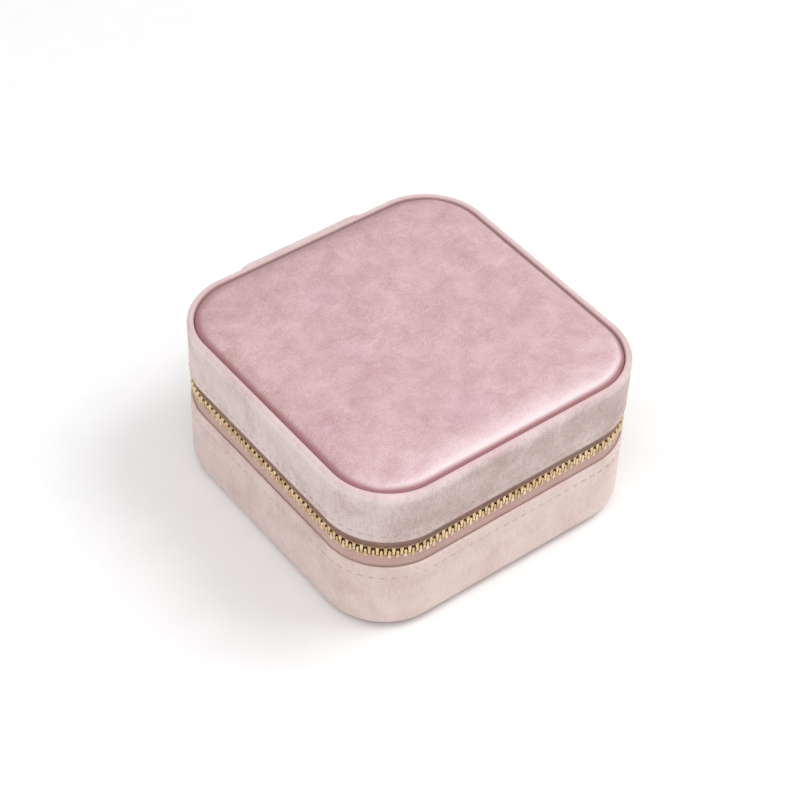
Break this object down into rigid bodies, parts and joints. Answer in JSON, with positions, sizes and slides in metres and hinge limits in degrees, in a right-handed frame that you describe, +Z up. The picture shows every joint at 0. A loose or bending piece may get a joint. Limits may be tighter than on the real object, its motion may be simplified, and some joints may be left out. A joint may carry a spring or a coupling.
{
  "type": "travel jewelry case",
  "caption": "Rounded square zip-round travel jewelry case in velvet, with ring rolls, removable dividers, lid mirror and pocket.",
  "frame": {"origin": "centre of the flat underside, on the surface the case stands on", "axes": "+Z up; -Y is the front, +Y the hinge side; +X is the side where the zip slider rests"},
  "size_m": [0.104, 0.1022, 0.055],
  "materials": {
    "outer_velvet": "short pile velvet with satin sheen",
    "lining_velvet": "short pile velvet, matte",
    "stiff_board": "grey pressed board",
    "foam": "soft open-cell foam",
    "zip_tape": "woven polyester tape",
    "gold_metal": "polished pale gold plating",
    "mirror": "silvered glass",
    "adhesive": "white foam tape",
    "elastic": "covered elastic"
  },
  "bodies": {
    "base": {"base_side_cover": "outer_velvet", "base_bottom_cover": "outer_velvet", "base_bottom_board": "stiff_board", "base_side_board": "stiff_board", "base_liner_board": "stiff_board", "base_floor_board": "stiff_board", "base_floor_lining": "lining_velvet", "base_wall_lining": "lining_velvet", "centre_divider_board": "stiff_board", "centre_divider_cover": "lining_velvet", "ring_roll_support": "foam", "ring_roll_1": "lining_velvet", "ring_roll_2": "lining_velvet", "ring_roll_3": "lining_velvet", "ring_roll_4": "lining_velvet", "ring_roll_5": "lining_velvet", "ring_roll_6": "lining_velvet", "ring_roll_7": "lining_velvet", "zip_tape_lower": "zip_tape", "zip_teeth_lower": "gold_metal", "zip_top_stop_lower": "gold_metal", "zip_bottom_stop": "gold_metal", "hinge_board_lower": "stiff_board", "hinge_patch_cover": "outer_velvet", "hinge_gusset": "outer_velvet"},
    "lid": {"lid_side_cover": "outer_velvet", "lid_side_board": "stiff_board", "lid_top_board": "stiff_board", "lid_top_foam": "foam", "lid_top_cover": "outer_velvet", "lid_liner_board": "stiff_board", "lid_wall_lining": "lining_velvet", "lid_panel_board": "stiff_board", "lid_panel_lining": "lining_velvet", "mirror_adhesive": "adhesive", "mirror_glass": "mirror", "lid_pocket": "lining_velvet", "pocket_elastic": "elastic", "zip_tape_upper": "zip_tape", "zip_teeth_upper": "gold_metal", "zip_top_stop_upper": "gold_metal", "hinge_board_upper": "stiff_board"},
    "slider": {"slider_body": "gold_metal", "slider_bridge": "gold_metal"},
    "pull_link": {"pull_link": "gold_metal"},
    "pull_tab": {"pull_tab": "gold_metal"},
    "removable_divider_a": {"removable_divider_a_board": "stiff_board", "removable_divider_a_cover": "lining_velvet"},
    "removable_divider_b": {"removable_divider_b_board": "stiff_board", "removable_divider_b_cover": "lining_velvet"}
  },
  "joints": [
    {"name": "lid_hinge", "type": "hinge", "parent": "base", "child": "lid", "pos_m": [0, 0.051, 0.031], "axis": [-1, 0, 0], "range_deg": [0, 110], "deforming": ["hinge_patch_cover", "hinge_gusset"]},
    {"name": "slider_travel", "type": "slide", "parent": "base", "child": "slider", "axis": [0, -1, 0], "range_m": [0, 0.05], "deforming": ["zip_teeth_lower", "zip_teeth_upper"]},
    {"name": "link_swing", "type": "hinge", "parent": "slider", "child": "pull_link", "pos_m": [0.0526, 0.025, 0.0314], "axis": [0, -1, 0], "range_deg": [0, 150]},
    {"name": "tab_swing", "type": "hinge", "parent": "pull_link", "child": "pull_tab", "pos_m": [0.0526, 0.025, 0.0258], "axis": [1, 0, 0], "range_deg": [-75, 75]},
    {"name": "divider_a_lift", "type": "slide", "parent": "base", "child": "removable_divider_a", "axis": [0, 0, 1], "range_m": [0, 0.016]},
    {"name": "divider_b_lift", "type": "slide", "parent": "base", "child": "removable_divider_b", "axis": [0, 0, 1], "range_m": [0, 0.016]}
  ]
}
